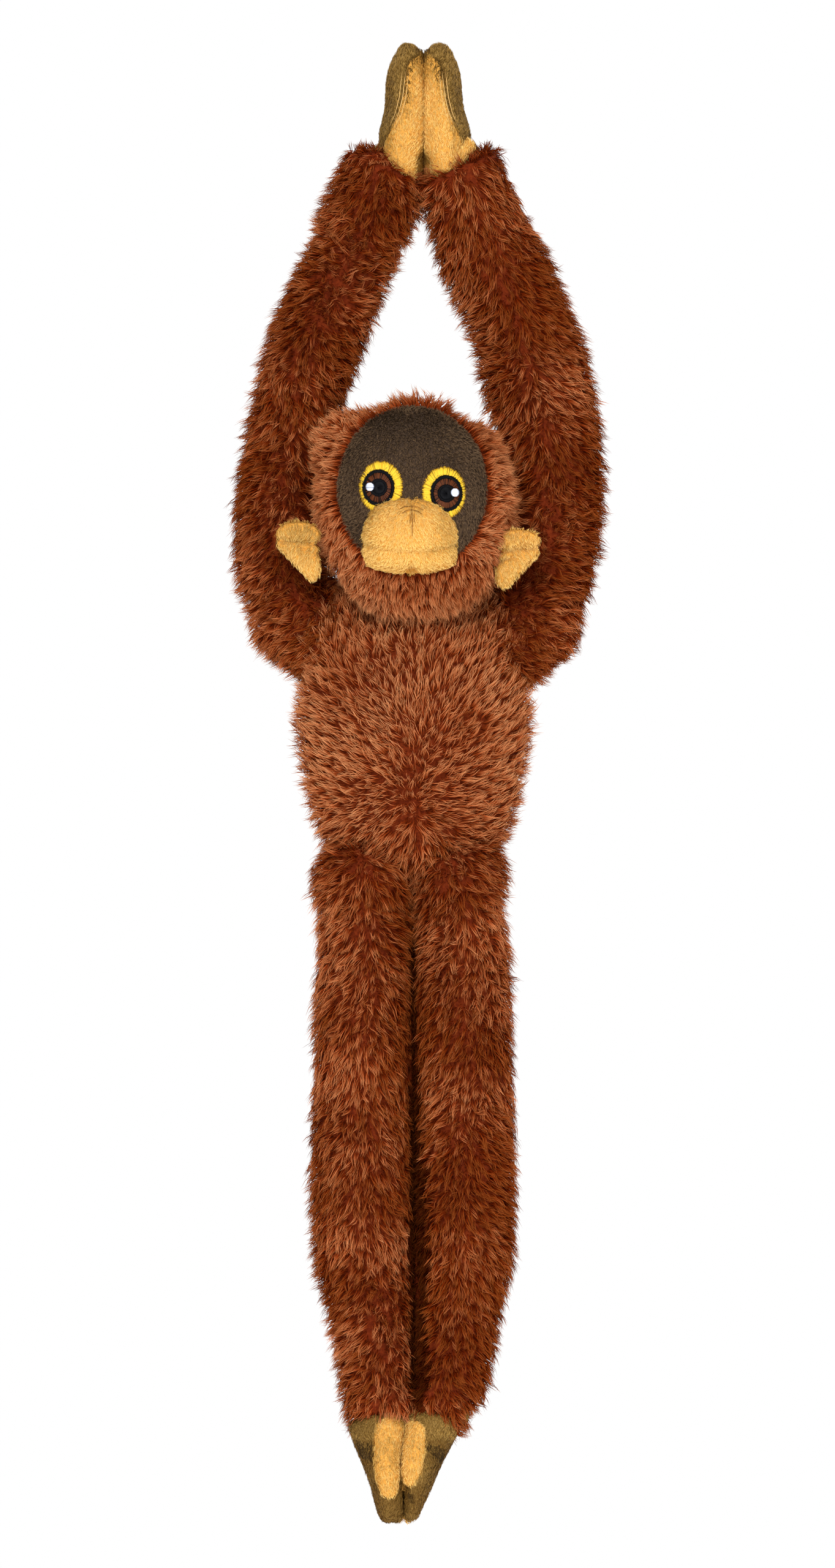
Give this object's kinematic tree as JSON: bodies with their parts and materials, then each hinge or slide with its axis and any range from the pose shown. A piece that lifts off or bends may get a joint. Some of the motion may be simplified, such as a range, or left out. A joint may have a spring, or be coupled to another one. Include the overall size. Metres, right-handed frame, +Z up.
{
  "type": "hanging plush ape",
  "caption": "Long-limbed stuffed ape with rust shaggy fur, dark face and golden muzzle, hanging by its joined hands with its legs straight down.",
  "frame": {"origin": "the hanging point, at the top of the loop that the arms make under the joined hands", "axes": "+Z up along the hanging body, face towards -Y, +X towards the toy's own left"},
  "size_m": [0.1354, 0.0878, 0.56],
  "materials": {
    "rust_fur": "long shaggy pile",
    "golden_pile": "short soft pile",
    "olive_pile": "short soft pile",
    "dark_pile": "short soft pile",
    "yellow_thread": "satin-stitched thread",
    "brown_thread": "satin-stitched thread",
    "black_thread": "satin-stitched thread",
    "white_thread": "satin-stitched thread",
    "fastener_tape": "woven nylon hooks and loops",
    "stuffing": "loose polyester fibre"
  },
  "bodies": {
    "torso": {"torso_front_panel": "rust_fur", "torso_back_panel": "rust_fur", "torso_stuffing": "stuffing"},
    "neck": {"neck_stuffing": "stuffing"},
    "head": {"hood_right": "rust_fur", "hood_left": "rust_fur", "face_panel": "dark_pile", "head_stuffing": "stuffing", "muzzle": "golden_pile", "muzzle_stuffing": "stuffing", "ear_right": "golden_pile", "ear_left": "golden_pile", "eye_ring_right": "yellow_thread", "eye_iris_right": "brown_thread", "eye_pupil_right": "black_thread", "eye_glint_right": "white_thread", "eye_ring_left": "yellow_thread", "eye_iris_left": "brown_thread", "eye_pupil_left": "black_thread", "eye_glint_left": "white_thread"},
    "right_shoulder": {"shoulder_stuffing_right": "stuffing"},
    "right_upper_arm": {"upper_arm_sleeve_right": "rust_fur", "upper_arm_stuffing_right": "stuffing"},
    "right_forearm": {"forearm_sleeve_right": "rust_fur", "forearm_stuffing_right": "stuffing"},
    "right_hand": {"hand_palm_panel_right": "golden_pile", "hand_back_panel_right": "olive_pile", "hand_stuffing_right": "stuffing", "hand_hook_tape": "fastener_tape", "thumb_right": "golden_pile"},
    "right_hip": {"hip_stuffing_right": "stuffing"},
    "right_thigh": {"thigh_sleeve_right": "rust_fur", "thigh_stuffing_right": "stuffing"},
    "right_shin": {"shin_sleeve_right": "rust_fur", "shin_stuffing_right": "stuffing"},
    "right_foot": {"foot_sole_panel_right": "golden_pile", "foot_upper_panel_right": "olive_pile", "foot_stuffing_right": "stuffing", "foot_hook_tape": "fastener_tape", "big_toe_right": "golden_pile"},
    "left_shoulder": {"shoulder_stuffing_left": "stuffing"},
    "left_upper_arm": {"upper_arm_sleeve_left": "rust_fur", "upper_arm_stuffing_left": "stuffing"},
    "left_forearm": {"forearm_sleeve_left": "rust_fur", "forearm_stuffing_left": "stuffing"},
    "left_hand": {"hand_palm_panel_left": "golden_pile", "hand_back_panel_left": "olive_pile", "hand_stuffing_left": "stuffing", "hand_loop_tape": "fastener_tape", "thumb_left": "golden_pile"},
    "left_hip": {"hip_stuffing_left": "stuffing"},
    "left_thigh": {"thigh_sleeve_left": "rust_fur", "thigh_stuffing_left": "stuffing"},
    "left_shin": {"shin_sleeve_left": "rust_fur", "shin_stuffing_left": "stuffing"},
    "left_foot": {"foot_sole_panel_left": "golden_pile", "foot_upper_panel_left": "olive_pile", "foot_stuffing_left": "stuffing", "foot_loop_tape": "fastener_tape", "big_toe_left": "golden_pile"}
  },
  "joints": [
    {"name": "neck_turn", "type": "hinge", "parent": "torso", "child": "neck", "pos_m": [0, -0.008, -0.147], "axis": [0, 0, 1], "range_deg": [-15, 15]},
    {"name": "head_nod", "type": "hinge", "parent": "neck", "child": "head", "pos_m": [0, -0.008, -0.147], "axis": [1, 0, 0], "range_deg": [-8, 12]},
    {"name": "right_shoulder_out", "type": "hinge", "parent": "torso", "child": "right_shoulder", "pos_m": [-0.045, 0.002, -0.152], "axis": [0, -1, 0], "range_deg": [0, 125]},
    {"name": "right_shoulder_back", "type": "hinge", "parent": "right_shoulder", "child": "right_upper_arm", "pos_m": [-0.045, 0.002, -0.152], "axis": [-1, 0, 0], "range_deg": [0, 35]},
    {"name": "right_elbow_fold", "type": "hinge", "parent": "right_upper_arm", "child": "right_forearm", "pos_m": [-0.04623, 0.009, -0.079], "axis": [1, 0, 0], "range_deg": [0, 66]},
    {"name": "right_wrist_open", "type": "hinge", "parent": "right_forearm", "child": "right_hand", "pos_m": [-0.011, 0, 0.021], "axis": [0, -1, 0], "range_deg": [0, 40]},
    {"name": "right_hip_lift", "type": "hinge", "parent": "torso", "child": "right_hip", "pos_m": [-0.02, -0.006, -0.249], "axis": [-1, 0, 0], "range_deg": [0, 68]},
    {"name": "right_hip_spread", "type": "hinge", "parent": "right_hip", "child": "right_thigh", "pos_m": [-0.02, -0.006, -0.249], "axis": [0, 1, 0], "range_deg": [0, 30]},
    {"name": "right_knee_fold", "type": "hinge", "parent": "right_thigh", "child": "right_shin", "pos_m": [-0.02, -0.006, -0.35], "axis": [1, 0, 0], "range_deg": [0, 92]},
    {"name": "right_ankle_open", "type": "hinge", "parent": "right_shin", "child": "right_foot", "pos_m": [-0.0142, -0.006, -0.452], "axis": [0, 1, 0], "range_deg": [0, 38]},
    {"name": "left_shoulder_out", "type": "hinge", "parent": "torso", "child": "left_shoulder", "pos_m": [0.045, 0.002, -0.152], "axis": [0, 1, 0], "range_deg": [0, 125]},
    {"name": "left_shoulder_back", "type": "hinge", "parent": "left_shoulder", "child": "left_upper_arm", "pos_m": [0.045, 0.002, -0.152], "axis": [-1, 0, 0], "range_deg": [0, 35]},
    {"name": "left_elbow_fold", "type": "hinge", "parent": "left_upper_arm", "child": "left_forearm", "pos_m": [0.04877, 0.009, -0.079], "axis": [1, 0, 0], "range_deg": [0, 66]},
    {"name": "left_wrist_open", "type": "hinge", "parent": "left_forearm", "child": "left_hand", "pos_m": [0.017, 0, 0.021], "axis": [0, 1, 0], "range_deg": [0, 40]},
    {"name": "left_hip_lift", "type": "hinge", "parent": "torso", "child": "left_hip", "pos_m": [0.018, -0.006, -0.249], "axis": [-1, 0, 0], "range_deg": [0, 68]},
    {"name": "left_hip_spread", "type": "hinge", "parent": "left_hip", "child": "left_thigh", "pos_m": [0.018, -0.006, -0.249], "axis": [0, -1, 0], "range_deg": [0, 30]},
    {"name": "left_knee_fold", "type": "hinge", "parent": "left_thigh", "child": "left_shin", "pos_m": [0.018, -0.006, -0.35], "axis": [1, 0, 0], "range_deg": [0, 92]},
    {"name": "left_ankle_open", "type": "hinge", "parent": "left_shin", "child": "left_foot", "pos_m": [0.0122, -0.006, -0.452], "axis": [0, -1, 0], "range_deg": [0, 38]}
  ]
}
